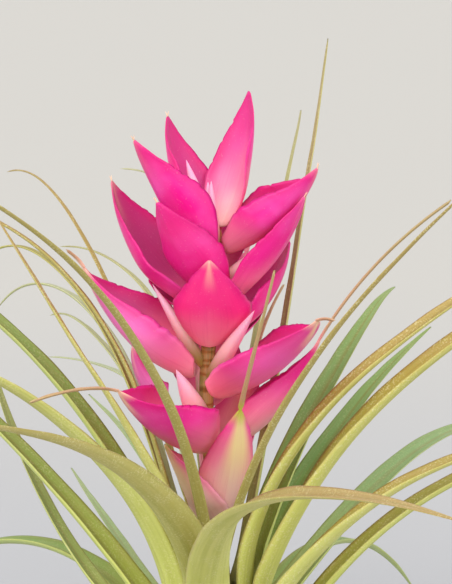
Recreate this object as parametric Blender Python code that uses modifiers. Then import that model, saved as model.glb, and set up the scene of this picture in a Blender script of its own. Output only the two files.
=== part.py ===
"""A stricta air plant: a rosette of channelled leaves round a short stem, with a spike of pink bracts."""

import math

import bmesh
import bpy
from mathutils import Matrix, Vector

mm = 0.001

# Driving dimensions of the stem and the flower stalk.
STEM_FOOT_RADIUS = 5.4 * mm
STEM_TOP_RADIUS = 2.3 * mm
STEM_HEIGHT = 34.5 * mm
STEM_ROUND = 0.9 * mm  # the foot's rounded edge
STALK_RADIUS = 1.25 * mm
STALK_TOP = 90.0 * mm
STALK_LEAN = 1.4 * mm  # how far the stalk bows to the left
STALK_LEAN_HEIGHT = 62 * mm
STALK_LEAN_SPREAD = 14 * mm
SEAT_GAP = 0.3 * mm  # left between a leaf's foot and what carries it

# Leaves: the first sits lowest on the stem, the last is the innermost.
FIRST_LEAF_HEIGHT = 3.4 * mm
LEAF_STEP = 0.8 * mm
LEAF_THICKNESS = 0.7 * mm
LEAF_TIP_WIDTH = 0.75 * mm
LEAF_FOLD = math.radians(70)  # half the angle that a blade's channel spans
SHEATH_FOLD = math.radians(24)  # how far a leaf's foot wraps round the stem, each way
LOW_FLARE = math.radians(33)  # slope of the lowest leaf's foot
HIGH_FLARE = math.radians(74)
LOW_SHEATH = 13 * mm
HIGH_SHEATH = 9 * mm
LEAF_COLUMNS = 4
LEAF_ROWS = 9

# Bracts: boat-shaped cups along the stalk; the lower ones end in a blade like a leaf's.
BRACT_THICKNESS = 0.6 * mm
BRACT_TIP_WIDTH = 0.8 * mm
BRACT_COLUMNS = 6
BRACT_ROWS = 8
TAIL_ROWS = 5
CUP_WIDEST = 0.40  # as a share of the cup's length

# Flower buds in the axils.
BUD_SIDES = 6
BUD_ROWS = 7
BUD_SINK = 0.9 * mm

LEAF_GREEN = (0.36, 0.40, 0.13, 1)
BRACT_PINK = (0.80, 0.07, 0.33, 1)
SCAPE_PINK = (0.82, 0.42, 0.40, 1)
STALK_OLIVE = (0.33, 0.22, 0.08, 1)
STEM_BROWN = (0.30, 0.22, 0.12, 1)

# name, turn, sway, rise, fall, bend, length, width, roll; angles in degrees, sizes in mm.
# turn is the way a leaf faces seen from above, from +X towards +Y, and sway how far it swings by the tip;
# rise and fall are its slope at the foot and at the tip, and a larger bend keeps the curve for the tip.
# roll tips its channel to one side.
# A leaf with no fall droops until it touches the surface: settle() works its fall out.
LEAVES = [
    ("leaf_01", 20, 10, 38, None, 0.9, 104, 7.0, 0),
    ("leaf_02", 157, -12, 36, None, 0.9, 100, 7.2, 0),
    ("leaf_03", 295, 8, 36, None, 0.9, 102, 7.0, 0),
    ("leaf_04", 72, -10, 40, None, 0.9, 108, 7.4, 0),
    ("leaf_05", 210, 12, 40, None, 0.9, 106, 7.2, 0),
    ("leaf_06", 347, -8, 44, None, 0.9, 110, 7.4, 0),
    ("leaf_07", 124, 14, 45, None, 0.9, 107, 7.0, 0),
    ("leaf_08", 255, -10, 46, None, 0.9, 108, 7.2, 0),
    ("leaf_09", 12, -13, 72, -23, 0.89, 118, 6.5, 5),
    ("leaf_10", 144, -27, 23, 64, 0.96, 84, 4.7, 5),
    ("leaf_11", 312, 80, 85, -7, 0.93, 88, 9.0, 3),
    ("leaf_12", 117, -10, 23, 8, 0.85, 72, 4.0, -4),
    ("leaf_13", 215, 12, 54, -46, 0.9, 104, 7.0, 0),
    ("leaf_14", 44, 19, 38, -46, 1.85, 108, 6.9, 15),
    ("leaf_15", 149, -3, 52, 25, 0.72, 108, 6.9, 1),
    ("leaf_16", 94, 27, 19, 15, 1.06, 88, 5.5, -6),
    ("leaf_17", 265, 39, 58, 2, 0.72, 131, 10.3, 19),
    ("leaf_18", 121, 9, 72, -46, 2.37, 95, 4.4, 7),
    ("leaf_19", 44, 0, 75, 24, 0.77, 70, 8.2, 15),
    ("leaf_20", 211, -21, 94, 8, 0.77, 91, 9.4, 10),
    ("leaf_21", 93, 40, 69, -10, 0.73, 91, 3.1, -5),
    ("leaf_22", 342, 14, 79, 2, 0.94, 122, 9.1, 15),
    ("leaf_23", 165, -13, 84, 12, 0.77, 108, 7.1, -2),
    ("leaf_24", 262, -31, 54, 10, 0.84, 112, 10.0, 5),
    ("leaf_25", 95, 40, 73, -11, 1.74, 89, 2.7, 8),
    ("leaf_26", 31, 44, 74, -3, 1.41, 78, 7.7, 10),
    ("leaf_27", 330, 77, 114, 10, 0.53, 96, 7.1, 5),
    ("leaf_28", 136, -20, 77, -20, 1.69, 72, 2.8, 7),
    ("leaf_29", 246, -91, 67, 57, 0.58, 78, 4.8, 0),
    ("leaf_30", 82, 36, 72, -9, 1.12, 118, 2.1, -3),
    ("leaf_31", 151, -30, 73, -74, 2.5, 96, 2.5, -1),
    ("leaf_32", 280, 37, 59, 38, 0.47, 118, 2.0, -2),
    ("leaf_33", 32, 0, 74, 81, 0.45, 92, 3.0, -1),
    ("leaf_34", 184, -4, 78, -57, 2.31, 108, 1.8, -3),
    ("leaf_35", 260, -39, 61, 18, 1.18, 127, 2.6, -1),
    ("leaf_36", 119, -4, 50, -15, 2.6, 109, 1.4, 4),
    ("leaf_37", 70, 17, 74, 4, 0.92, 116, 1.4, -9),
]

# name, height, turn, sway, rise, fall, bend, cup length, cup width, fold, roll, foot
# roll tips a cup to one side, and foot is the width it starts from as a share of the widest.
BRACTS = [
    ("bract_01", 38.5, 224, 17, 63, 55, 0.7, 20.6, 10.9, 73, -31, 0.45),
    ("bract_02", 40.7, 291, -6, 53, 68.5, 0.63, 24.4, 8.9, 66, -6, 0.36),
    ("bract_03", 45.5, 59, -6, 46, 75, 0.75, 23.5, 9.9, 68, 2, 0.50),
    ("bract_04", 53.2, 352, 3, 9, 70.5, 0.53, 25.2, 9.0, 93, -4, 0.30),
    ("bract_05", 52.9, 235.5, -2, 12, 50, 0.86, 26.8, 12.2, 105, -13, 0.45),
    ("bract_06", 57.5, 138, 16, -16, 91, 0.94, 20.2, 9.5, 45, 58, 0.45),
    ("bract_07", 59.5, 93, -1, 27, 60, 0.9, 22, 12, 69, 0, 0.50),
    ("bract_08", 61.8, 337, -44, 9.5, 49, 0.54, 27.5, 14.0, 80, 15, 0.54),
    ("bract_09", 65.1, 176, 29, -1, 69, 0.5, 27.0, 13.1, 96, -13, 0.47),
    ("bract_10", 67.6, 68, 1, 32, 55, 0.8, 22, 12, 66, 16, 0.46),
    ("bract_11", 70.3, 273, -7, 40, 83, 1.1, 18.5, 12.9, 55, -8, 0.36),
    ("bract_12", 72.1, 26, -2, -2, 82, 0.64, 20.5, 13.2, 69, -7, 0.40),
    ("bract_13", 73.7, 123, 0, 27, 66, 0.75, 20, 12.1, 56, -20, 0.54),
    ("bract_14", 75.8, 157, 26, 24, 82, 0.89, 26.8, 14.4, 71, -18, 0.42),
    ("bract_15", 76.7, 344, -18, 26.8, 67, 0.52, 23.9, 9.0, 51, -10, 0.68),
    ("bract_16", 78.1, 243, -32, 45, 65, 0.97, 21, 10.4, 70, 20, 0.59),
    ("bract_17", 80.7, 84, -1, 36, 72, 0.85, 20.8, 10.3, 62, 8, 0.48),
    ("bract_18", 84.1, 201, -3, 55, 65, 0.97, 23.3, 11.9, 73, 15, 0.42),
    ("bract_19", 85.5, 356.5, -42, 15, 66, 0.84, 22.2, 10.4, 104, 12, 0.42),
    ("bract_20", 87.3, 137, -2, 38, 87, 0.74, 22, 11.8, 68, 19, 0.46),
    ("bract_21", 89.4, 57, 2, 41, 94, 0.93, 23.8, 9.5, 69, -21, 0.40),
]

# The lower bracts draw out into a thin blade: length, slope where it starts, slope at its tip, swing.
TAILS = {
    "bract_02": (27, 56, 72, 25),
    "bract_03": (14, 66, 40, 0),
    "bract_04": (31.5, 60, 35, -4),
    "bract_05": (17, 19, -18, -34),
    "bract_07": (7, 56, 20, 0),
    "bract_08": (5.2, 22, -6, 12),
    "bract_09": (4.5, 57, 32, 10),
    "bract_10": (4, 50, 20, 0),
}

# height, turn, slope, length, radius of each bud
BUDS = [
    (57.0, 223, 59, 12.7, 1.8),
    (60.4, 98, 61, 12.1, 1.5),
    (64.9, 315, 51, 16.9, 1.35),
    (66.9, 184, 59, 16.7, 1.1),
    (71.7, 289, 96, 13.8, 1.2),
    (86.9, 241, 60, 10.8, 1.0),
    (79.7, 345, 42, 12, 1.3),
    (84.8, 246, 88, 13.4, 1.25),
    (82.4, 89, 55, 12, 1.3),
    (87.7, 193, 88, 10.2, 1.35),
    (87.9, 162, 72, 14, 1.3),
]


def smooth(x):
    x = min(max(x, 0.0), 1.0)
    return x * x * (3 - 2 * x)


def mix(a, b, share):
    return a + (b - a) * share


def stalk_centre(height):
    away = (height - STALK_LEAN_HEIGHT) / STALK_LEAN_SPREAD
    return Vector((-STALK_LEAN * math.exp(-away * away), 0, height))


def stem_radius(height):
    return mix(STEM_FOOT_RADIUS, STEM_TOP_RADIUS, height / STEM_HEIGHT)


def stations(start, turn, sway, slope, length, rows):
    """Points along a line, each with its share of the length, its level way across and its upper side."""
    found = []
    point = start.copy()
    fine = 8
    for i in range(rows * fine + 1):
        share = i / (rows * fine)
        tilt = slope(share)
        head = turn + sway * share
        level = math.cos(tilt)
        along = Vector((level * math.cos(head), level * math.sin(head), math.sin(tilt)))
        if i % fine == 0:
            across = Vector((-math.sin(head), math.cos(head), 0))
            found.append((share, point.copy(), across, along.cross(across)))
        point += along * (length / (rows * fine))
    return found


def channel(station, half_width, fold, u):
    """A point across a blade that is folded to an arc, where u runs from -1 to 1."""
    _, centre, across, up = station
    radius = half_width / fold
    return centre + across * (radius * math.sin(fold * u)) + up * (radius * (1 - math.cos(fold * u)))


def sheet_object(name, columns, points_by_row, thickness, material):
    """An open sheet laid out by its rows of points, triangulated, and thickened by Solidify."""
    rows = len(points_by_row) - 1
    bm = bmesh.new()
    bmesh.ops.create_grid(bm, x_segments=columns, y_segments=rows, size=1)
    for vertex in bm.verts:
        column = round((vertex.co.x + 1) / 2 * columns)
        row = round((vertex.co.y + 1) / 2 * rows)
        vertex.co = points_by_row[row][column]
    bmesh.ops.triangulate(bm, faces=bm.faces, quad_method="FIXED")
    mesh = bpy.data.meshes.new(name)
    bm.to_mesh(mesh)
    bm.free()
    obj = bpy.data.objects.new(name, mesh)
    obj.data.materials.append(material)
    solid = obj.modifiers.new("Thickness", "SOLIDIFY")
    solid.thickness = thickness
    solid.offset = 0
    return obj


def leaf_rows(order, leaf, rows=LEAF_ROWS, columns=LEAF_COLUMNS):
    """The rows of points of one leaf: its foot lies round the stem, and its blade is an arching channel."""
    _, turn, sway, rise, fall, bend, length, width, roll = leaf
    turn, sway, rise, fall, roll = (math.radians(x) for x in (turn, sway, rise, fall, roll))
    length, width = length * mm, width * mm
    place = order / (len(LEAVES) - 1)
    height = FIRST_LEAF_HEIGHT + LEAF_STEP * order
    flare = mix(LOW_FLARE, HIGH_FLARE, place)
    sheath = mix(LOW_SHEATH, HIGH_SHEATH, place)
    foot = stem_radius(height) + SEAT_GAP + LEAF_THICKNESS / 2
    start = Vector((foot * math.cos(turn), foot * math.sin(turn), height))

    def slope(share):
        own = mix(rise, fall, share**bend)
        return mix(flare, own, smooth(share * length / sheath))

    found = []
    for share, centre, across, up in stations(start, turn, sway, slope, length, rows):
        turned = Matrix.Rotation(roll * smooth(2 * share), 3, across.cross(up))
        station = (share, centre, turned @ across, turned @ up)
        reach = Vector((centre.x, centre.y)).length
        open_blade = smooth((share * length - 0.4 * sheath) / sheath)
        foot_half = reach * SHEATH_FOLD
        blade_half = 0.5 * mix(width, LEAF_TIP_WIDTH, share**1.3)
        half = mix(min(foot_half, width / 2), blade_half, open_blade)
        fold = mix(LEAF_FOLD, 0.4, share**3)
        row = []
        for column in range(columns + 1):
            u = 2 * column / columns - 1
            round_stem = Matrix.Rotation(u * half / reach, 3, "Z") @ centre
            row.append(round_stem.lerp(channel(station, half, fold, u), open_blade))
        found.append(row)
    return found


def settle(order, leaf):
    """The fall at which a drooping leaf's underside just meets the surface, found by halving."""
    low, high = -110.0, 20.0
    for _ in range(24):
        middle = (low + high) / 2
        rows = leaf_rows(order, (*leaf[:4], middle, *leaf[5:]))
        if min(p.z for row in rows for p in row) > LEAF_THICKNESS / 2:
            high = middle
        else:
            low = middle
    return (*leaf[:4], high, *leaf[5:])


def make_leaf(order, leaf, material):
    if leaf[4] is None:
        leaf = settle(order, leaf)
    return sheet_object(leaf[0], LEAF_COLUMNS, leaf_rows(order, leaf), LEAF_THICKNESS, material)


def cup_half_width(share, width, foot):
    """A bract is narrow at its foot, widest before the middle, and tapers to a point."""
    if share < CUP_WIDEST:
        return 0.5 * width * mix(foot, 1, math.sin(0.5 * math.pi * share / CUP_WIDEST))
    along = (share - CUP_WIDEST) / (1 - CUP_WIDEST)
    return 0.5 * mix(width, BRACT_TIP_WIDTH, along**1.5)


def bract_rows(bract, rows=BRACT_ROWS, tail_rows=TAIL_ROWS, columns=BRACT_COLUMNS):
    name, height, turn, sway, rise, fall, bend, cup, width, fold, roll, foot = bract
    turn, sway, rise, fall, fold, roll = (math.radians(x) for x in (turn, sway, rise, fall, fold, roll))
    height, cup, width = height * mm, cup * mm, width * mm
    reach = STALK_RADIUS + SEAT_GAP + BRACT_THICKNESS / 2
    start = stalk_centre(height) + reach * Vector((math.cos(turn), math.sin(turn), 0))
    arc_width = width * fold / math.sin(min(fold, math.pi / 2))  # across the flat sheet

    found = []
    line = stations(start, turn, sway, lambda share: mix(rise, fall, share**bend), cup, rows)
    for share, centre, across, up in line:
        tip = roll * smooth(2 * share)
        turned = Matrix.Rotation(tip, 3, across.cross(up))
        station = (share, centre, turned @ across, turned @ up)
        half = cup_half_width(share, arc_width, foot)
        deep = fold * mix(1, 0.45, smooth((share - 0.55) / 0.45))
        found.append([channel(station, half, deep, 2 * i / columns - 1) for i in range(columns + 1)])
    if name in TAILS:
        tail, rise, fall, swing = TAILS[name]
        rise, fall, swing = (math.radians(x) for x in (rise, fall, swing))
        end = line[-1][1]
        line = stations(end, turn + sway, swing, lambda share: mix(rise, fall, share), tail * mm, tail_rows)
        for station in line[1:]:
            half = 0.5 * BRACT_TIP_WIDTH * mix(1.5, 1, station[0])
            found.append([channel(station, half, 0.5, 2 * i / columns - 1) for i in range(columns + 1)])
    return found


def make_bract(bract, material):
    return sheet_object(bract[0], BRACT_COLUMNS, bract_rows(bract), BRACT_THICKNESS, material)


def make_stem(material):
    """The short stem, a turned shape with a small flat foot to rest on."""
    mesh = bpy.data.meshes.new("stem")
    bm = bmesh.new()
    bmesh.ops.create_cone(
        bm, cap_ends=True, segments=20, radius1=STEM_FOOT_RADIUS, radius2=STEM_TOP_RADIUS, depth=STEM_HEIGHT
    )
    bmesh.ops.translate(bm, verts=bm.verts, vec=(0, 0, STEM_HEIGHT / 2))
    rim = [edge for edge in bm.edges if all(vertex.co.z < STEM_ROUND for vertex in edge.verts)]
    bmesh.ops.bevel(bm, geom=rim, offset=STEM_ROUND, segments=2, affect="EDGES", profile=0.5, material=-1)
    bm.to_mesh(mesh)
    bm.free()
    obj = bpy.data.objects.new("stem", mesh)
    obj.data.materials.append(material)
    return obj


def bud_mesh(height, turn, slope, length, radius):
    """A pointed bud whose root is sunk in the stalk."""
    turn, slope = math.radians(turn), math.radians(slope)
    bm = bmesh.new()
    bmesh.ops.create_uvsphere(bm, u_segments=BUD_SIDES, v_segments=BUD_ROWS, radius=1)
    for vertex in bm.verts:
        share = (vertex.co.z + 1) / 2
        girth = math.hypot(vertex.co.x, vertex.co.y)
        if girth > 1e-6:
            wanted = radius * mm * math.sin(math.pi * share**0.6) ** 0.8
            vertex.co.x *= wanted / girth
            vertex.co.y *= wanted / girth
        vertex.co.z = share * length * mm - BUD_SINK
    tilt = Matrix.Rotation(turn, 4, "Z") @ Matrix.Rotation(math.pi / 2 - slope, 4, "Y")
    root = stalk_centre(height * mm) + Vector((math.cos(turn), math.sin(turn), 0)) * (STALK_RADIUS * 0.6)
    bmesh.ops.transform(bm, matrix=Matrix.Translation(root) @ tilt, verts=bm.verts)
    mesh = bpy.data.meshes.new("bud")
    bm.to_mesh(mesh)
    bm.free()
    return mesh


def make_stalk(material):
    """The flower stalk, one round stem that bows a little, with its buds joined to it."""
    curve = bpy.data.curves.new("stalk_line", "CURVE")
    curve.dimensions = "3D"
    curve.bevel_depth = STALK_RADIUS
    curve.bevel_resolution = 2
    curve.use_fill_caps = True
    spline = curve.splines.new("POLY")
    low = STEM_HEIGHT + SEAT_GAP
    count = 12
    spline.points.add(count - 1)
    for i, point in enumerate(spline.points):
        point.co = (*stalk_centre(mix(low, STALK_TOP, i / (count - 1))), 1)
    guide = bpy.data.objects.new("stalk_guide", curve)
    bpy.context.scene.collection.objects.link(guide)
    graph = bpy.context.evaluated_depsgraph_get()
    mesh = bpy.data.meshes.new_from_object(guide.evaluated_get(graph))
    bpy.data.objects.remove(guide)
    bm = bmesh.new()
    bm.from_mesh(mesh)
    bmesh.ops.remove_doubles(bm, verts=bm.verts, dist=0.00001)
    bm.to_mesh(mesh)
    bm.free()
    mesh.materials.clear()
    mesh.materials.append(material)
    stalk = bpy.data.objects.new("flower_stalk", mesh)
    bpy.context.scene.collection.objects.link(stalk)

    buds = bpy.data.collections.new("buds")
    bpy.context.scene.collection.children.link(buds)
    for bud in BUDS:
        buds.objects.link(bpy.data.objects.new("bud", bud_mesh(*bud)))
    join = stalk.modifiers.new("Buds", "BOOLEAN")
    join.operation = "UNION"
    join.operand_type = "COLLECTION"
    join.collection = buds
    join.solver = "EXACT"
    graph = bpy.context.evaluated_depsgraph_get()
    joined = bpy.data.meshes.new_from_object(stalk.evaluated_get(graph))
    stalk.modifiers.clear()
    stalk.data = joined
    for obj in list(buds.objects):
        bpy.data.objects.remove(obj)
    bpy.data.collections.remove(buds)
    bpy.context.scene.collection.objects.unlink(stalk)
    return stalk


def finish(name, colour, roughness):
    material = bpy.data.materials.new(name)
    material.use_nodes = True
    shader = material.node_tree.nodes["Principled BSDF"]
    shader.inputs["Base Color"].default_value = colour
    shader.inputs["Roughness"].default_value = roughness
    shader.inputs["Metallic"].default_value = 0
    return material


def main():
    for obj in list(bpy.data.objects):
        bpy.data.objects.remove(obj)
    plant = bpy.data.collections.new("stricta_air_plant")
    bpy.context.scene.collection.children.link(plant)
    plant.objects.link(make_stem(finish("stem", STEM_BROWN, 0.8)))
    plant.objects.link(make_stalk(finish("stalk", STALK_OLIVE, 0.5)))
    green = finish("leaf", LEAF_GREEN, 0.6)
    for order, leaf in enumerate(LEAVES):
        plant.objects.link(make_leaf(order, leaf, green))
    pink = finish("bract", BRACT_PINK, 0.4)
    pale = finish("scape_bract", SCAPE_PINK, 0.45)
    for bract in BRACTS:
        plant.objects.link(make_bract(bract, pale if bract in BRACTS[:3] else pink))
    for obj in plant.objects:
        obj.data.shade_smooth()
        obj.data.set_sharp_from_angle(angle=math.radians(50))


main()
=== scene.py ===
import math

import bmesh
import bpy
from mathutils import Matrix, Vector, noise


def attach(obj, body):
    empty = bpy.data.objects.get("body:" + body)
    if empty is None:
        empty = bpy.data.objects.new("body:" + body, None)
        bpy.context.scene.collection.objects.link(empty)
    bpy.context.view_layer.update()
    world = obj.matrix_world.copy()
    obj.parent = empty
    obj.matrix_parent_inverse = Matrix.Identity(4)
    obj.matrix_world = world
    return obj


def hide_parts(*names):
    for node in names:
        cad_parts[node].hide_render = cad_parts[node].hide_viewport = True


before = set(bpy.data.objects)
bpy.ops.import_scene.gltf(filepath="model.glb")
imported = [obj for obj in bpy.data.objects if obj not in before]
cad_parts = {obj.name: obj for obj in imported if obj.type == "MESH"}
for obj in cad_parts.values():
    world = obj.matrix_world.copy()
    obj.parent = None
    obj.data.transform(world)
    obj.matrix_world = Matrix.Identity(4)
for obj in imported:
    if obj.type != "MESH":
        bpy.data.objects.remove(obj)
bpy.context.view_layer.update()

mm = 0.001
print("frame loaded:", len(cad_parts), "nodes")


def ease(x):
    x = min(max(x, 0.0), 1.0)
    return x * x * (3 - 2 * x)


def mix(low, high, share):
    return low + (high - low) * share


def ripple(seed, x, y=0.0):  # smooth noise from -1 to 1, the same each run
    return noise.noise(Vector((x, y, seed * 3.7 + 0.5)))


def colour(red, green, blue):  # screen colour from 0 to 255, made linear
    def linear(c):
        c /= 255
        return c / 12.92 if c <= 0.04045 else ((c + 0.055) / 1.055) ** 2.4
    return (linear(red), linear(green), linear(blue), 1)


class Wire:  # a node's output that takes part in sums
    def __init__(self, paint, socket):
        self.paint, self.socket = paint, socket

    def __add__(self, other):
        return self.paint.sum("ADD", self, other)

    def __sub__(self, other):
        return self.paint.sum("SUBTRACT", self, other)

    def __rsub__(self, other):
        return self.paint.sum("SUBTRACT", other, self)

    def __mul__(self, other):
        return self.paint.sum("MULTIPLY", self, other)

    __radd__ = __add__
    __rmul__ = __mul__


class Paint:  # a material and its nodes
    def __init__(self, name, **fixed):
        self.material = bpy.data.materials.new(name)
        self.material.use_nodes = True
        self.tree = self.material.node_tree
        self.surface = self.tree.nodes["Principled BSDF"]
        for socket, value in fixed.items():
            self.set(socket, value)

    def put(self, socket, value):
        if isinstance(value, Wire):
            self.tree.links.new(value.socket, socket)
        else:
            socket.default_value = value

    def set(self, socket, value):  # Base_Color stands for the socket Base Color
        self.put(self.surface.inputs[socket.replace("_", " ")], value)

    def node(self, kind, settings=None, values=None, out=0):
        made = self.tree.nodes.new("ShaderNode" + kind)
        for name, value in (settings or {}).items():
            setattr(made, name, value)
        for name, value in (values or {}).items():
            self.put(made.inputs[name], value)
        return Wire(self, made.outputs[out])

    def sum(self, operation, a, b):
        return self.node("Math", {"operation": operation}, {0: a, 1: b})

    def size(self, value):  # without its sign
        return self.node("Math", {"operation": "ABSOLUTE"}, {0: value})

    def blend(self, share, a, b):
        return self.node("Mix", {"data_type": "RGBA"}, {0: share, 6: a, 7: b}, out=2)

    def step(self, value, low, high):  # 0 below low, 1 above high, smooth between
        settings = {"interpolation_type": "SMOOTHSTEP"}
        return self.node("MapRange", settings, {"Value": value, "From Min": low, "From Max": high})

    def mark(self, name):  # a value kept on the mesh's points
        return self.node("Attribute", {"attribute_name": name}, out=2)

    def place(self):
        return self.node("TexCoord", out=3)

    def grain(self, scale, where=None, detail=2.0):
        values = {"Vector": where or self.place(), "Scale": scale, "Detail": detail, "Roughness": 0.5}
        return self.node("TexNoise", None, values)

    def point(self, x, y, z):
        return self.node("CombineXYZ", None, {0: x, 1: y, 2: z})

    def bump(self, height, strength, distance):
        values = {"Height": height, "Strength": strength, "Distance": distance}
        self.set("Normal", self.node("Bump", None, values))


def bladeLine(start, turn, sway, slope, length, steps):
    # steps along a blade: share of its length, point, level way across, upper side
    found, point = [], start.copy()
    for i in range(steps + 1):
        share = i / steps
        tilt, head = slope(share), turn + sway * share
        level = math.cos(tilt)
        along = Vector((level * math.cos(head), level * math.sin(head), math.sin(tilt)))
        across = Vector((-math.sin(head), math.cos(head), 0))
        found.append((share, point.copy(), across, along.cross(across)))
        point += along * (length / steps)
    return found


def channel(step, halfWidth, fold, u):  # a point across a blade that is folded to an arc, u from -1 to 1
    _, centre, across, up = step
    radius = halfWidth / fold
    return centre + across * (radius * math.sin(fold * u)) + up * (radius * (1 - math.cos(fold * u)))


def addPiece(name, mesh, finishes, node=None):
    data = bpy.data.meshes.new(name)
    mesh.to_mesh(data)
    mesh.free()
    for finish in finishes:
        data.materials.append(finish.material)
    data.shade_smooth()
    piece = bpy.data.objects.new(name, data)
    bpy.context.scene.collection.objects.link(piece)
    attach(piece, "root")
    if node:
        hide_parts(node)
    return piece


def growSheet(columns, rows, shape, halfThick, marks):
    # a sheet from a grid: shape gives each point and its share along, halfThick its half thickness
    mesh = bmesh.new()
    for name in ("across", "along", *marks):
        mesh.verts.layers.float.new(name)
    layers = mesh.verts.layers.float
    bmesh.ops.create_grid(mesh, x_segments=columns, y_segments=rows, size=1)
    for vert in mesh.verts:
        u, row = -vert.co.x, round((vert.co.y + 1) / 2 * rows)
        vert.co, along = shape(row, u)
        vert[layers["across"]], vert[layers["along"]] = u, along
        for name, value in marks.items():
            vert[layers[name]] = value
    mesh.normal_update()
    copied = bmesh.ops.duplicate(mesh, geom=mesh.verts[:] + mesh.edges[:] + mesh.faces[:])["geom"]
    under = {part for part in copied if isinstance(part, bmesh.types.BMVert)}
    for vert in mesh.verts:
        side = -1 if vert in under else 1
        vert.co += vert.normal * (side * halfThick(vert[layers["across"]], vert[layers["along"]], side))
    lower = [part for part in copied if isinstance(part, bmesh.types.BMFace)]
    bmesh.ops.reverse_faces(mesh, faces=lower)
    for face in lower:
        face.material_index = 1
    bmesh.ops.remove_doubles(mesh, verts=mesh.verts, dist=1e-7)
    bmesh.ops.dissolve_degenerate(mesh, edges=mesh.edges, dist=1e-7)
    return mesh


def growColumn(sides, rows, low, high):  # an upright column of radius 1, closed at both ends
    mesh = bmesh.new()
    for name in ("along", "across"):
        mesh.verts.layers.float.new(name)
    bmesh.ops.create_circle(mesh, cap_ends=True, segments=sides, radius=1)
    bmesh.ops.reverse_faces(mesh, faces=mesh.faces)
    bmesh.ops.translate(mesh, verts=mesh.verts, vec=(0, 0, low))
    top = mesh.faces[:]
    for _ in range(rows):
        grown = bmesh.ops.extrude_face_region(mesh, geom=top)["geom"]
        top = [part for part in grown if isinstance(part, bmesh.types.BMFace)]
        lifted = {vert for face in top for vert in face.verts}
        bmesh.ops.translate(mesh, verts=list(lifted), vec=(0, 0, (high - low) / rows))
    return mesh


stem = {"footRadius": 5.4 * mm, "topRadius": 2.3 * mm, "height": 34.5 * mm, "round": 0.9 * mm}
stalk = {"radius": 1.25 * mm, "top": 90 * mm, "lean": 1.4 * mm, "leanHeight": 62 * mm, "leanSpread": 14 * mm}
seatGap = 0.3 * mm


def stemRadius(height):
    return mix(stem["footRadius"], stem["topRadius"], height / stem["height"])


def stalkCentre(height):
    away = (height - stalk["leanHeight"]) / stalk["leanSpread"]
    return Vector((-stalk["lean"] * math.exp(-away * away), 0, height))


leafShape = {
    "firstHeight": 3.4 * mm,
    "step": 0.8 * mm,
    "thickness": 0.7 * mm,
    "tipWidth": 0.3 * mm,
    "fold": math.radians(70),
    "sheathFold": math.radians(24),
    "flare": (math.radians(33), math.radians(74)),  # slope of the lowest and of the innermost foot
    "sheath": (13 * mm, 9 * mm),
    "rows": 72,
    "columns": 14,
    "wander": 0.25 * mm,
    "edgeWave": 0.12 * mm,
    "rib": 0.10 * mm,
    "ribWidth": 0.16,
}

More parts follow.
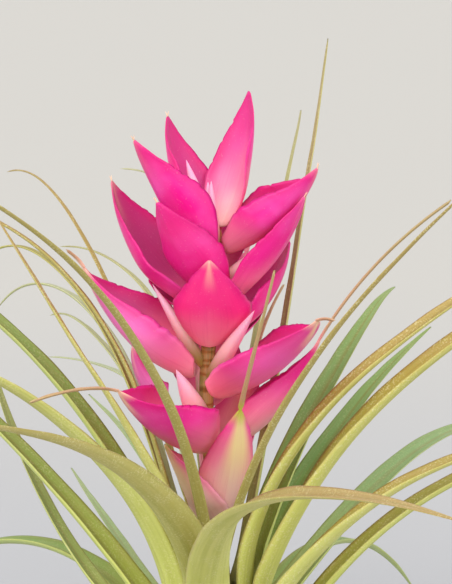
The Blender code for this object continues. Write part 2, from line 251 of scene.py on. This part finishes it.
# name, turn, sway, rise, fall, bend, length, width, roll; green, husk, haze
# angles in degrees, sizes in mm; a leaf with no fall droops to the surface
leaves = [
    ("leaf_01", 20, 10, 38, None, 0.9, 104, 7.0, 0, 0.9, 0, 0),
    ("leaf_02", 157, -12, 36, None, 0.9, 100, 7.2, 0, 0.8, 0, 0),
    ("leaf_03", 295, 8, 36, None, 0.9, 102, 7.0, 0, 0.6, 0, 0),
    ("leaf_04", 72, -10, 40, None, 0.9, 108, 7.4, 0, 0.9, 0, 0),
    ("leaf_05", 210, 12, 40, None, 0.9, 106, 7.2, 0, 0.6, 0, 0),
    ("leaf_06", 347, -8, 44, None, 0.9, 110, 7.4, 0, 0.7, 0, 0),
    ("leaf_07", 124, 14, 45, None, 0.9, 107, 7.0, 0, 0.9, 0, 0),
    ("leaf_08", 255, -10, 46, None, 0.9, 108, 7.2, 0, 0.5, 0, 0),
    ("leaf_09", 12, -13, 72, -23, 0.89, 118, 6.5, 5, 0.35, 0, 0),
    ("leaf_10", 144, -27, 23, 64, 0.96, 84, 4.7, 5, 0.75, 0, 0.05),
    ("leaf_11", 312, 80, 85, -7, 0.93, 88, 9.0, 3, 0.25, 0, 0),
    ("leaf_12", 117, -10, 23, 8, 0.85, 72, 4.0, -4, 0.9, 0, 0.15),
    ("leaf_13", 215, 12, 54, -46, 0.9, 104, 7.0, 0, 0.4, 0, 0),
    ("leaf_14", 44, 19, 38, -46, 1.85, 108, 6.9, 15, 1.0, 0, 0.1),
    ("leaf_15", 149, -3, 52, 25, 0.72, 108, 6.9, 1, 0.75, 0, 0),
    ("leaf_16", 94, 27, 19, 15, 1.06, 88, 5.5, -6, 0.9, 0, 0.15),
    ("leaf_17", 265, 39, 58, 2, 0.72, 131, 10.3, 19, 0.1, 0, 0),
    ("leaf_18", 121, 9, 72, -46, 2.37, 95, 4.4, 7, 0.7, 0, 0.35),
    ("leaf_19", 44, 0, 75, 24, 0.77, 70, 8.2, 15, 1.0, 0, 0),
    ("leaf_20", 211, -21, 94, 8, 0.77, 91, 9.4, 10, 0.45, 0, 0),
    ("leaf_21", 93, 40, 69, -10, 0.73, 91, 3.1, -5, 0.8, 0, 0.35),
    ("leaf_22", 342, 14, 79, 2, 0.94, 122, 9.1, 15, 0.1, 0, 0),
    ("leaf_23", 165, -13, 84, 12, 0.77, 108, 7.1, -2, 0.85, 0, 0),
    ("leaf_24", 262, -31, 54, 10, 0.84, 112, 10.0, 5, 0.1, 0.3, 0),
    ("leaf_25", 95, 40, 73, -11, 1.74, 89, 2.7, 8, 0.6, 0, 0.2),
    ("leaf_26", 31, 44, 74, -3, 1.41, 78, 7.7, 10, 0.95, 0, 0),
    ("leaf_27", 330, 77, 114, 10, 0.53, 96, 7.1, 5, 0.1, 0, 0),
    ("leaf_28", 136, -20, 77, -20, 1.69, 72, 2.8, 7, 0.7, 0, 0.25),
    ("leaf_29", 246, -91, 67, 57, 0.58, 78, 4.8, 0, 0.15, 0, 0),
    ("leaf_30", 82, 36, 72, -9, 1.12, 118, 2.1, -3, 0.6, 0, 0.3),
    ("leaf_31", 151, -30, 73, -74, 2.5, 96, 2.5, -1, 0.6, 0.2, 0),
    ("leaf_32", 280, 37, 59, 38, 0.47, 118, 2.0, -2, 0.0, 0.75, 0),
    ("leaf_33", 32, 0, 74, 81, 0.45, 92, 3.0, -1, 0.5, 0.1, 0.12),
    ("leaf_34", 184, -4, 78, -57, 2.31, 108, 1.8, -3, 0.1, 0.5, 0),
    ("leaf_35", 260, -39, 61, 18, 1.18, 127, 2.6, -1, 0.45, 0.7, 0),
    ("leaf_36", 119, -4, 50, -15, 2.6, 109, 1.4, 4, 0.1, 0.6, 0),
    ("leaf_37", 70, 17, 74, 4, 0.92, 116, 1.4, -9, 0.6, 0.1, 0.12),
]


def leafSurface(order, leaf, fall):
    # gives a function from a row and u to a point of the leaf, with the row's share of the length
    _, turn, sway, rise, _, bend, length, width, roll = leaf[:9]
    turn, sway, rise, fall, roll = (math.radians(x) for x in (turn, sway, rise, fall, roll))
    length, width = length * mm, width * mm
    place = order / (len(leaves) - 1)
    height = leafShape["firstHeight"] + leafShape["step"] * order
    flare, sheath = (mix(*leafShape[key], place) for key in ("flare", "sheath"))
    foot = stemRadius(height) + seatGap + leafShape["thickness"] / 2
    start = Vector((foot * math.cos(turn), foot * math.sin(turn), height))

    def slope(share):
        return mix(flare, mix(rise, fall, share**bend), ease(share * length / sheath))

    line = bladeLine(start, turn, sway, slope, length, leafShape["rows"])

    def surface(row, u):
        share, centre, across, up = line[row]
        turned = Matrix.Rotation(roll * ease(2 * share), 3, across.cross(up))
        across, up = turned @ across, turned @ up
        reach = Vector((centre.x, centre.y)).length
        opened = ease((share * length - 0.4 * sheath) / sheath)
        bladeHalf = 0.5 * mix(width, leafShape["tipWidth"], share**1.3)
        half = mix(min(reach * leafShape["sheathFold"], width / 2), bladeHalf, opened)
        fold = mix(leafShape["fold"], 0.4, share**3)
        wander = leafShape["wander"] * ease(share * 2.5)
        shift = up * (wander * ripple(order, share * 5)) + across * (wander * ripple(order + 50, share * 4))
        edge = up * (leafShape["edgeWave"] * abs(u) ** 3 * opened * ripple(order + 90, share * 16, 2 * u))
        onStem = Matrix.Rotation(u * half / reach, 3, "Z") @ centre
        return onStem.lerp(channel((share, centre, across, up), half, fold, u) + shift + edge, opened), share

    return surface


def droopToFloor(order, leaf):  # the fall at which the leaf's lowest point just clears the floor, by halving
    low, high = -110.0, 20.0
    for _ in range(20):
        middle = (low + high) / 2
        surface = leafSurface(order, leaf, middle)
        lowest = min(surface(row, u)[0].z for row in range(0, leafShape["rows"] + 1, 4) for u in (-1, 0, 1))
        low, high = (low, middle) if lowest > leafShape["thickness"] / 2 else (middle, high)
    return high


def leafHalfThick(u, along, side):
    ends = ease(along / 0.02) * ease((1 - along) / 0.02)
    body = 0.5 * leafShape["thickness"] * mix(1, 0.4, along) * (1 - abs(u) ** 2.4) ** 0.6
    rib = leafShape["rib"] * math.exp(-(u / leafShape["ribWidth"]) ** 2)
    rib *= (1 - along) * (-1 if side > 0 else 1)
    return (body + rib) * ends


leafFinish = {
    "olive": colour(170, 148, 66), "green": colour(112, 144, 66), "blueGreen": colour(124, 158, 92),
    "foot": colour(184, 186, 80), "tip": colour(180, 150, 100),
    "underOlive": colour(214, 208, 122), "underGreen": colour(190, 204, 122),
    "underBlue": colour(168, 190, 126), "underFoot": colour(216, 224, 112), "underTip": colour(204, 184, 122),
    # the last colour on the next line marks fibre streaks and also paints shade along the groove of the upper
    # side
    "scurf": colour(232, 226, 176), "edge": colour(160, 116, 62), "fibreAndGrooveShade": colour(128, 116, 46),
    "vein": colour(176, 180, 78), "husk": colour(150, 118, 66), "haze": colour(206, 210, 194),
}


def leafPaint(name, under):
    paint = Paint(name, Specular_IOR_Level=0.35, Subsurface_Weight=0.1,
                  Subsurface_Scale=0.8 * mm, Subsurface_Radius=(0.8, 1.0, 0.4))
    along, across, green = paint.mark("along"), paint.mark("across"), paint.mark("green")
    husk, haze = paint.mark("husk"), paint.mark("haze")
    keys = ("underOlive", "underGreen", "underBlue", "underFoot", "underTip") if under else (
        "olive", "green", "blueGreen", "foot", "tip")
    olive, fresh, blue, foot, tip = (leafFinish[key] for key in keys)
    aside = paint.size(across)
    tone = paint.blend(green, olive, fresh)
    tone = paint.blend(paint.step(green + along * 0.5, 1.0, 1.4), tone, blue)
    tone = paint.blend(paint.step(along, 0.5, 0.0) * 0.7, tone, foot)
    tone = paint.blend(paint.step(along, 0.35, 1.0) * (0.9 - green * 0.8), tone, tip)
    fibre = paint.grain(1.0, paint.point(across * 7, along * 4, green * 7), 3.0)
    mottle = paint.grain(1.0, paint.point(across * 2, along * 14, green * 5), 3.0)
    tone = paint.blend(paint.step(fibre, 0.4, 0.75) * (0.5 if under else 0.4), tone,
                       leafFinish["vein" if under else "fibreAndGrooveShade"])
    tone = paint.blend(paint.step(mottle, 0.45, 0.75) * 0.35 * (1 - green * 0.7), tone,
                       leafFinish["foot" if under else "tip"])
    rim = paint.step(aside, 0.80, 1.0)
    tone = paint.blend(rim * (0.35 if under else 0.6) * (1 - green * 0.7), tone, leafFinish["edge"])
    if not under:
        # painted shade: the middle of the upper side, at the bottom of the folded channel, is darkened
        tone = paint.blend(paint.step(aside, 0.30, 0.0) * 0.45, tone, leafFinish["fibreAndGrooveShade"])
    tone = paint.blend(husk * 0.75, tone, leafFinish["husk"])
    fleck = paint.grain(3400, None, 0.0)
    patch = paint.grain(260, None, 2.0)
    scurf = paint.step(fleck, 0.54, 0.70) * paint.step(patch, 0.3, 0.6)
    scurf = scurf * (1 - green * 0.7) * (0.5 if under else 0.35)
    tone = paint.blend(scurf, tone, leafFinish["scurf"])
    tone = paint.blend(haze, tone, leafFinish["haze"])
    paint.set("Base_Color", tone)
    paint.set("Roughness", 0.5 + scurf * 0.4)
    paint.bump(fleck * 0.5 + fibre * 0.8, 0.35, 0.12 * mm)
    return paint


leafPaints = [leafPaint("leafUpper", False), leafPaint("leafUnder", True)]
for order, leaf in enumerate(leaves):
    fall = droopToFloor(order, leaf) if leaf[4] is None else leaf[4]
    marks = {"green": leaf[9], "husk": leaf[10], "haze": leaf[11]}
    surface = leafSurface(order, leaf, fall)
    mesh = growSheet(leafShape["columns"], leafShape["rows"], surface, leafHalfThick, marks)
    addPiece(leaf[0].replace("_", "") + "Blade", mesh, leafPaints, leaf[0])
print("leaves grown:", len(leaves))


# the last mark is painted shade on a cup's inner face
bractMarks = ("pale", "peach", "dusk", "gold", "warm", "innerShade")
bractShape = {
    "thickness": 0.6 * mm,
    "tipWidth": 0.45 * mm,
    "widest": 0.40,
    "rows": 64,
    "tailRows": 40,
    "columns": 24,
    "nick": 0.035,  # how uneven a margin is, as a share of the half width
    "tear": 0.13,  # how deep its torn notches are
    "wave": 0.22 * mm,
    "hairs": 3,
    "hairLength": 1.0 * mm,
    "hairRadius": 0.11 * mm,
    "hairTip": 0.02 * mm,
    "keel": 0.12 * mm,
    "keelWidth": 0.10,
    "scapeBracts": 3,  # how many stand below the flowers
}

# name, height, turn, sway, rise, fall, bend, cup length, width, fold, roll, foot
# then pale foot, peach tip, dusk, gold, warm, painted shade on the inner face
bracts = [
    ("bract_01", 38.5, 224, 17, 63, 55, 0.7, 20.6, 10.9, 73, -31, 0.45, 1.2, 0.2, 0, 0.6, 0.5, 0.55),
    ("bract_02", 40.7, 291, -6, 53, 68.5, 0.63, 24.4, 8.9, 66, -6, 0.36, 0.95, 0, 0, 1.0, 0.5, 0.55),
    ("bract_03", 45.5, 59, -6, 46, 75, 0.75, 23.5, 9.9, 68, 2, 0.50, 0.8, 0.4, 0.1, 0.4, 0.5, 0.55),
    ("bract_04", 53.2, 352, 3, 9, 70.5, 0.53, 25.2, 9.0, 93, -4, 0.30, 0.7, 0.5, 0.12, 0, 0.4, 0.2),
    ("bract_05", 52.9, 235.5, -2, 12, 50, 0.86, 26.8, 12.2, 105, -13, 0.45, 0.55, 0.9, 0, 0, 0.42, 0.6),
    ("bract_06", 57.5, 138, 16, -16, 91, 0.94, 20.2, 9.5, 45, 58, 0.45, 0.35, 0.4, 0.2, 0, 0, 0.55),
    ("bract_07", 59.5, 93, -1, 27, 60, 0.9, 22, 12, 69, 0, 0.50, 0.35, 0.5, 0.2, 0, 0.4, 0.55),
    ("bract_08", 61.8, 337, -44, 9.5, 49, 0.54, 27.5, 14.0, 80, 15, 0.54, 0.45, 0.9, 0, 0, 0.2, 0.6),
    ("bract_09", 65.1, 176, 29, -1, 69, 0.5, 27.0, 13.1, 96, -13, 0.47, 0.5, 0.8, 0, 0, 0, 0.75),
    ("bract_10", 67.6, 68, 1, 32, 55, 0.8, 22, 12, 66, 16, 0.46, 0.3, 0.3, 0.3, 0, 0.4, 0.55),
    ("bract_11", 70.3, 273, -7, 40, 83, 1.1, 18.5, 12.9, 55, -8, 0.36, 0.4, 0.45, 0, 0, 0.95, 0.55),
    ("bract_12", 72.1, 26, -2, -2, 82, 0.64, 20.5, 13.2, 69, -7, 0.40, 0.25, 0, 0.25, 0, 0.4, 0.55),
    ("bract_13", 73.7, 123, 0, 27, 66, 0.75, 20, 12.1, 56, -20, 0.54, 0.25, 0.2, 0.3, 0, 0.4, 0.55),
    ("bract_14", 75.8, 157, 26, 24, 82, 0.89, 26.8, 14.4, 71, -18, 0.42, 0.2, 0.3, 0.1, 0, 0.35, 0.95),
    ("bract_15", 76.7, 344, -18, 26.8, 67, 0.52, 23.9, 9.0, 51, -10, 0.68, 0.4, 0.1, 0.1, 0, 0.45, 0.55),
    ("bract_16", 78.1, 243, -32, 45, 65, 0.97, 21, 10.4, 70, 20, 0.59, 0.12, 0, 0, 0, 0.6, 0.55),
    ("bract_17", 80.7, 84, -1, 36, 72, 0.85, 20.8, 10.3, 62, 8, 0.48, 0.3, 0, 0.2, 0, 0.4, 0.55),
    ("bract_18", 84.1, 201, -3, 55, 65, 0.97, 23.3, 11.9, 73, 15, 0.42, 0.2, 0.1, 0, 0, 0.45, 0.55),
    ("bract_19", 85.5, 356.5, -42, 15, 66, 0.84, 22.2, 10.4, 104, 12, 0.42, 0.42, 0.2, 0, 0, 0.4, 0.7),
    ("bract_20", 87.3, 137, -2, 38, 87, 0.74, 22, 11.8, 68, 19, 0.46, 0.25, 0, 0.1, 0, 0.4, 0.75),
    ("bract_21", 89.4, 57, 2, 41, 94, 0.93, 23.8, 9.5, 69, -21, 0.40, 0.58, 0, 0, 0, 0.35, 0.55),
]

# a thin blade at a bract's tip: length, slope where it starts, slope at its tip, swing
tails = {
    "bract_02": (27, 56, 72, 25),
    "bract_03": (14, 66, 40, 0),
    "bract_04": (31.5, 60, 35, -4),
    "bract_05": (17, 19, -18, -34),
    "bract_07": (7, 56, 20, 0),
    "bract_08": (5.2, 22, -6, 12),
    "bract_09": (4.5, 57, 32, 10),
    "bract_10": (4, 50, 20, 0),
}


bareTips = ("bract_01", "bract_11", "bract_21")  # no tail and no hairs


def cupHalfWidth(share, width, foot):
    widest, tip = bractShape["widest"], bractShape["tipWidth"]
    if share < widest:
        return 0.5 * width * mix(foot, 1, math.sin(0.5 * math.pi * share / widest))
    return 0.5 * mix(width, tip, ((share - widest) / (1 - widest)) ** 1.5)


def bractSurface(order, bract):
    name, height, turn, sway, rise, fall, bend, cup, width, fold, roll, foot = bract[:12]
    turn, sway, rise, fall, fold, roll = (math.radians(x) for x in (turn, sway, rise, fall, fold, roll))
    height, cup, width = height * mm, cup * mm, width * mm
    reach = stalk["radius"] + seatGap + bractShape["thickness"] / 2
    start = stalkCentre(height) + reach * Vector((math.cos(turn), math.sin(turn), 0))
    arcWidth = width * fold / math.sin(min(fold, math.pi / 2))
    line = bladeLine(start, turn, sway, lambda share: mix(rise, fall, share**bend), cup, bractShape["rows"])
    steps = []
    for share, centre, across, up in line:
        turned = Matrix.Rotation(roll * ease(2 * share), 3, across.cross(up))
        deep = fold * mix(1, 0.45, ease((share - 0.55) / 0.45))
        half = cupHalfWidth(share, arcWidth, foot)
        steps.append(((share, centre, turned @ across, turned @ up), half, deep, share))
    if name in tails:
        tail, low, high, swing = tails[name]
        low, high, swing = (math.radians(x) for x in (low, high, swing))
        tailLine = bladeLine(line[-1][1], turn + sway, swing, lambda share: mix(low, high, share), tail * mm,
                             bractShape["tailRows"])
        for step in tailLine[1:]:
            half = 0.5 * bractShape["tipWidth"] * mix(2.2, 0.8, step[0])
            steps.append((step, half, 0.5, 1 + step[0] * tail * mm / cup))

    def surface(row, u):
        step, half, deep, share = steps[row]
        rag = bractShape["nick"] * abs(u) ** 6 * ripple(order + 20, share * 14, u * 3) * ease(share * 6)
        torn = max(0, ripple(order + 60, share * 34, u * 3) - 0.15) * ease(share * 2 - 0.5)
        rag -= bractShape["tear"] * abs(u) ** 10 * torn
        wave = bractShape["wave"] * abs(u) ** 4 * ripple(order + 40, share * 7, u * 2) * ease(4 * share)
        return channel(step, half * (1 + rag), deep, u) + step[3] * wave, share

    return surface, len(steps) - 1, steps[-1][3]


bractFinish = {
    "hot": colour(246, 26, 150), "light": colour(255, 84, 184),
    "rose": colour(255, 48, 130), "cool": colour(255, 132, 208),
    "salmon": colour(255, 132, 166), "cream": colour(254, 206, 198), "margin": colour(216, 6, 118),
    "mauve": colour(190, 66, 128), "gold": colour(250, 234, 160),
    "lime": colour(190, 194, 66), "peach": colour(252, 208, 172), "tail": colour(196, 158, 118),
    "tailTip": colour(178, 158, 108),
}


def bractPaint(name, under):
    paint = Paint(name, Specular_IOR_Level=0.4, Subsurface_Weight=0.08,
                  Subsurface_Scale=1.2 * mm, Subsurface_Radius=(1.0, 0.35, 0.5))
    along, across = paint.mark("along"), paint.mark("across")
    pale, peach, dusk, gold, warm, innerShade = (paint.mark(mark) for mark in bractMarks)
    aside = paint.size(across)
    cloud = paint.grain(120, None, 3.0)
    glow = paint.grain(75, None, 1.0)
    tone = paint.blend(paint.step(cloud, 0.40, 0.72), bractFinish["hot"], bractFinish["light"])
    tone = paint.blend(paint.step(glow, 0.5, 0.75) * 0.4, tone, bractFinish["rose"])
    tone = paint.blend(paint.step(warm, 0.4, 0.0) * 0.85, tone, bractFinish["cool"])
    tone = paint.blend(paint.step(warm, 0.4, 1.0) * 0.8, tone, bractFinish["rose"])
    if not under:
        # painted shade: the hollow inner face of the cup is darkened towards mauve
        tone = paint.blend(innerShade, tone, bractFinish["mauve"])
    tone = paint.blend(dusk * 0.8, tone, bractFinish["mauve"])
    reach = along + (cloud - 0.5) * 0.25 + aside * 0.25 - pale
    tone = paint.blend(paint.step(reach, 0.25, -0.20) * 0.9, tone, bractFinish["salmon"])
    tone = paint.blend(paint.step(reach, -0.1, -0.6), tone, bractFinish["cream"])
    middle = paint.step(paint.size(across - 0.15), 0.7, 0.15) * paint.step(along, 0.25, 0.75)
    tone = paint.blend(middle * gold * 0.85, tone, bractFinish["gold"])
    rim = paint.step(aside, 0.60, 1.0) * paint.step(along, 0.1, 0.5)
    tone = paint.blend(rim * 0.8 * (1 - gold * 0.7), tone, bractFinish["margin"])
    tone = paint.blend(paint.step(along, 0.55, 1.0) * 0.5 * (1 - gold), tone, bractFinish["margin"])
    streak = paint.step(along, 0.66, 0.95) * paint.step(aside, 0.35, 0.05)
    tone = paint.blend(streak * peach, tone, bractFinish["peach"])
    tone = paint.blend(paint.step(along, 0.90, 1.0) * peach, tone, bractFinish["peach"])
    tone = paint.blend(paint.step(along, 0.84, 1.0) * gold, tone, bractFinish["lime"])
    tone = paint.blend(paint.step(along, 1.0, 1.12), tone, bractFinish["tail"])
    tone = paint.blend(paint.step(along, 1.2, 1.9), tone, bractFinish["tailTip"])
    vein = paint.grain(1.0, paint.point(across * 14, along * 1.6, dusk * 9), 2.0)
    tone = paint.blend(paint.step(vein, 0.5, 0.75) * 0.16, tone, bractFinish["margin"])
    fleck = paint.grain(3000, None, 1.0)
    tone = paint.blend(paint.step(fleck, 0.66, 0.74) * 0.10, tone, bractFinish["cream"])
    paint.set("Base_Color", tone)
    paint.set("Roughness", 0.34 + cloud * 0.16)
    paint.bump(vein * 1.0 + fleck * 0.15, 0.25, 0.15 * mm)
    return paint


def addHairs(mesh, tip, before, order):  # a small tuft where the margins meet at a bract's tip
    layers = mesh.verts.layers.float
    forward = (tip - before).normalized()
    for k in range(bractShape["hairs"]):
        aside = Vector([ripple(order + k * 5 + axis, 0.37 + k, 1.9) for axis in range(3)])
        way = (forward + aside * 0.9).normalized()
        turned = way.to_track_quat("Z", "Y").to_matrix().to_4x4()
        place = Matrix.Translation(tip + way * (0.35 * bractShape["hairLength"])) @ turned
        spike = bmesh.ops.create_cone(
            mesh, segments=6, radius1=bractShape["hairRadius"], radius2=bractShape["hairTip"],
            depth=bractShape["hairLength"], matrix=place)
        for vert in spike["verts"]:
            vert[layers["along"]], vert[layers["peach"]] = 1, 1


bractPaints = [bractPaint("bractInner", False), bractPaint("bractOuter", True)]
for order, bract in enumerate(bracts):
    surface, rows, longest = bractSurface(order, bract)

    def halfThick(u, along, side, longest=longest):
        ends = ease(along / 0.03) * ease((longest - along) / 0.02)
        body = 0.5 * bractShape["thickness"] * (1 - abs(u) ** 3) ** 0.7 * mix(1, 0.6, ease((along - 0.5) * 2))
        keel = bractShape["keel"] * math.exp(-(u / bractShape["keelWidth"]) ** 2) * (-0.6 if side > 0 else 1)
        return (body + keel) * ends

    marks = dict(zip(bractMarks, bract[12:]))
    mesh = growSheet(bractShape["columns"], rows, surface, halfThick, marks)
    if bract[0] not in tails and bract[0] not in bareTips:
        addHairs(mesh, surface(rows, 0)[0], surface(rows - 4, 0)[0], order)
    addPiece(bract[0].replace("_", "") + "Cup", mesh, bractPaints, bract[0])
print("bracts grown:", len(bracts))


budShape = {"sides": 24, "rows": 28, "sink": 0.9 * mm, "twist": 1.3, "fold": 0.07}

# height, turn, slope, length, radius, and how rosy
buds = [
    (57.0, 223, 59, 12.7, 1.8, 0.4),
    (60.4, 98, 61, 12.1, 1.5, 0.5),
    (64.9, 315, 51, 16.9, 1.35, 0.5),
    (66.9, 184, 59, 16.7, 1.1, 0.5),
    (71.7, 289, 96, 13.8, 1.2, 0.8),
    (86.9, 241, 60, 10.8, 1.0, 0.2),
    (79.7, 345, 42, 12, 1.3, 0.5),
    (84.8, 246, 88, 13.4, 1.25, 0.7),
    (82.4, 89, 55, 12, 1.3, 0.5),
    (87.7, 193, 88, 10.2, 1.35, 0.8),
    (87.9, 162, 72, 14, 1.3, 0.8),
]

budFinish = {
    "base": colour(150, 128, 56), "middle": colour(250, 194, 196), "tip": colour(255, 208, 228),
    "rosy": colour(250, 140, 190),
}


def budPaint():
    paint = Paint("budPetal", Roughness=0.42, Subsurface_Weight=0.2, Subsurface_Scale=1.0 * mm)
    along, rosy = paint.mark("along"), paint.mark("rosy")
    tone = paint.blend(paint.step(along, 0.1, 0.55), budFinish["base"], budFinish["middle"])
    tone = paint.blend(paint.step(along, 0.45, 0.9), tone, budFinish["tip"])
    tone = paint.blend(paint.step(along, 0.3, 1.0) * rosy * 0.7, tone, budFinish["rosy"])
    streak = paint.grain(1.0, paint.point(paint.mark("across") * 6, along * 2, rosy * 5), 2.0)
    tone = paint.blend(paint.step(streak, 0.5, 0.7) * 0.25, tone, budFinish["rosy"])
    paint.set("Base_Color", tone)
    paint.bump(streak, 0.2, 0.12 * mm)
    return paint


budFinishPaint = budPaint()
for order, (height, turn, slope, length, radius, rosy) in enumerate(buds):
    turn, slope = math.radians(turn), math.radians(slope)
    mesh = bmesh.new()
    for name in ("along", "across", "rosy"):
        mesh.verts.layers.float.new(name)
    layers = mesh.verts.layers.float
    bmesh.ops.create_uvsphere(mesh, u_segments=budShape["sides"], v_segments=budShape["rows"], radius=1)
    for vert in mesh.verts:
        share, angle = (vert.co.z + 1) / 2, math.atan2(vert.co.y, vert.co.x)
        swirl = 3 * angle + budShape["twist"] * 2 * math.pi * share
        girth = radius * mm * math.sin(math.pi * min(share, 0.9999) ** 0.6) ** 0.8
        girth *= 1 + budShape["fold"] * (abs(math.sin(swirl / 2)) - 0.6) * ease(share * 3)
        flat = Vector((vert.co.x, vert.co.y))
        if flat.length > 1e-6:
            flat *= girth / flat.length
        vert.co = (flat.x, flat.y, share * length * mm - budShape["sink"])
        vert[layers["along"]], vert[layers["across"]], vert[layers["rosy"]] = share, math.sin(angle), rosy
    tilt = Matrix.Rotation(turn, 4, "Z") @ Matrix.Rotation(math.pi / 2 - slope, 4, "Y")
    root = stalkCentre(height * mm) + Vector((math.cos(turn), math.sin(turn), 0)) * (stalk["radius"] * 0.6)
    bmesh.ops.transform(mesh, matrix=Matrix.Translation(root) @ tilt, verts=mesh.verts)
    addPiece(f"bud{order + 1:02d}", mesh, [budFinishPaint])
print("buds grown:", len(buds))


stalkLook = {
    "sides": 32, "rows": 120, "ridge": 0.06, "joint": 0.02,
    "jointWidth": 0.7 * mm, "topRound": 1.5 * mm,
}
stalkFinish = {"olive": colour(120, 108, 46), "brown": colour(160, 106, 54), "orange": colour(206, 138, 78)}


def stalkPaint():
    paint = Paint("stalkSkin", Roughness=0.5, Subsurface_Weight=0.1, Subsurface_Scale=1.0 * mm)
    cloud = paint.grain(170, None, 3.0)
    along, across = paint.mark("along"), paint.mark("across")
    fibre = paint.grain(1.0, paint.point(across * 5, along * 2.5, 0.0), 2.0)
    tone = paint.blend(paint.step(cloud, 0.35, 0.65), stalkFinish["brown"], stalkFinish["olive"])
    tone = paint.blend(paint.step(fibre, 0.40, 0.70) * 0.55, tone, stalkFinish["orange"])
    paint.set("Base_Color", tone)
    paint.bump(fibre + cloud * 0.5, 0.4, 0.15 * mm)
    return paint


low = stem["height"] + seatGap
mesh = growColumn(stalkLook["sides"], stalkLook["rows"], low, stalk["top"])
layers = mesh.verts.layers.float
joints = [bract[1] * mm for bract in bracts]
for vert in mesh.verts:
    height, angle = vert.co.z, math.atan2(vert.co.y, vert.co.x)
    swelling = sum(math.exp(-((height - joint) / stalkLook["jointWidth"]) ** 2) for joint in joints)
    ridge = stalkLook["ridge"] * ripple(7, 2.4 * math.cos(angle) + 5, 2.4 * math.sin(angle) + height * 40)
    rounding = 0.5 * ease((height - stalk["top"] + stalkLook["topRound"]) / stalkLook["topRound"])
    radius = stalk["radius"] * (0.94 + stalkLook["joint"] * swelling + ridge) * (1 - rounding)
    centre = stalkCentre(height)
    vert.co = (centre.x + radius * math.cos(angle), radius * math.sin(angle), height)
    vert[layers["along"]], vert[layers["across"]] = (height - low) / (stalk["top"] - low), math.sin(angle * 2)
bmesh.ops.recalc_face_normals(mesh, faces=mesh.faces)
addPiece("flowerStalkSkin", mesh, [stalkPaint()], "flower_stalk")
print("stalk grown")


stemLook = {"sides": 72, "rows": 60, "scar": 0.04}
stemFinish = {"bark": colour(104, 84, 56), "dark": colour(66, 50, 34), "straw": colour(172, 150, 108)}


def stemPaint():
    paint = Paint("stemBark", Roughness=0.85)
    cloud = paint.grain(240, None, 4.0)
    across, along = paint.mark("across"), paint.mark("along")
    fibre = paint.grain(1.0, paint.point(across * 10, along * 4, 1.0), 4.0)
    tone = paint.blend(paint.step(cloud, 0.35, 0.7), stemFinish["dark"], stemFinish["bark"])
    tone = paint.blend(paint.step(fibre, 0.48, 0.7) * 0.7, tone, stemFinish["straw"])
    paint.set("Base_Color", tone)
    paint.bump(fibre + cloud, 0.6, 0.3 * mm)
    return paint


mesh = growColumn(stemLook["sides"], stemLook["rows"], 0, stem["height"])
layers = mesh.verts.layers.float
for vert in mesh.verts:
    height, angle = vert.co.z, math.atan2(vert.co.y, vert.co.x)
    rough = stemLook["scar"] * ripple(3, 6 * math.cos(angle), 6 * math.sin(angle) + height * 260)
    corner = max(0.0, 1 - height / stem["round"])
    inset = stem["round"] * (1 - math.sqrt(1 - corner * corner))
    radius = stemRadius(height) * (0.96 + rough * ease(height / (2 * mm))) - inset
    vert.co = (radius * math.cos(angle), radius * math.sin(angle), height)
    vert[layers["along"]], vert[layers["across"]] = height / stem["height"], math.sin(angle * 3)
bmesh.ops.recalc_face_normals(mesh, faces=mesh.faces)
addPiece("stemCore", mesh, [stemPaint()], "stem")
print("stem grown")


room = {
    # the nearer floor colour is painted shade around the plant
    "floorFar": colour(190, 187, 181), "floorShadeNear": colour(178, 178, 180), "floorSize": 12.0,
    "air": colour(238, 240, 244), "airStrength": 0.92,
    "suns": [  # name, the way it comes from, strength, spread in degrees, colour
        ("keySun", (-0.55, -0.65, 1.0), 1.9, 50, (1.0, 0.98, 0.94)),
        ("fillSun", (0.9, -0.5, 0.6), 0.6, 60, (0.97, 0.98, 1.0)),
        ("frontSun", (0.1, -1.0, 0.12), 1.0, 45, (1.0, 0.99, 0.98)),
    ],
}
view = {"target": Vector((1.8 * mm, 0, 79 * mm)), "distance": 0.42, "elevation": 10, "lens": 160}

floorPaint = Paint("floorMatt", Roughness=0.9, Specular_IOR_Level=0.1)
distance = floorPaint.node("VectorMath", {"operation": "LENGTH"}, {0: floorPaint.place()}, out=1)
# painted shade: the floor is darker and a little cooler close to the plant, fading out by half a metre
floorShadedTone = floorPaint.blend(floorPaint.step(distance, 0.05, 0.5), room["floorShadeNear"], room["floorFar"])
floorPaint.set("Base_Color", floorShadedTone)
mesh = bmesh.new()
bmesh.ops.create_grid(mesh, x_segments=4, y_segments=4, size=room["floorSize"])
data = bpy.data.meshes.new("floor")
mesh.to_mesh(data)
mesh.free()
data.materials.append(floorPaint.material)
floor = bpy.data.objects.new("floor", data)
bpy.context.scene.collection.objects.link(floor)

world = bpy.data.worlds.new("softRoom")
bpy.context.scene.world = world
world.use_nodes = True
world.node_tree.nodes["Background"].inputs["Color"].default_value = room["air"]
world.node_tree.nodes["Background"].inputs["Strength"].default_value = room["airStrength"]

for name, source, strength, spread, tint in room["suns"]:
    sun = bpy.data.lights.new(name, "SUN")
    sun.energy, sun.angle, sun.color = strength, math.radians(spread), tint
    sunObject = bpy.data.objects.new(name, sun)
    bpy.context.scene.collection.objects.link(sunObject)
    sunObject.rotation_euler = (-Vector(source)).to_track_quat("-Z", "Y").to_euler()

lift = math.radians(view["elevation"])
camera = bpy.data.cameras.new("camera")
camera.lens, camera.sensor_fit, camera.sensor_height = view["lens"], "VERTICAL", 36
camera.clip_start, camera.clip_end = 0.01, 60
cameraStand = bpy.data.objects.new("camera", camera)
bpy.context.scene.collection.objects.link(cameraStand)
cameraStand.location = view["target"] + view["distance"] * Vector((0, -math.cos(lift), math.sin(lift)))
cameraStand.rotation_euler = (math.radians(90) - lift, 0, 0)
bpy.context.scene.camera = cameraStand
bpy.context.scene.view_settings.view_transform = "Standard"
print("room lit")
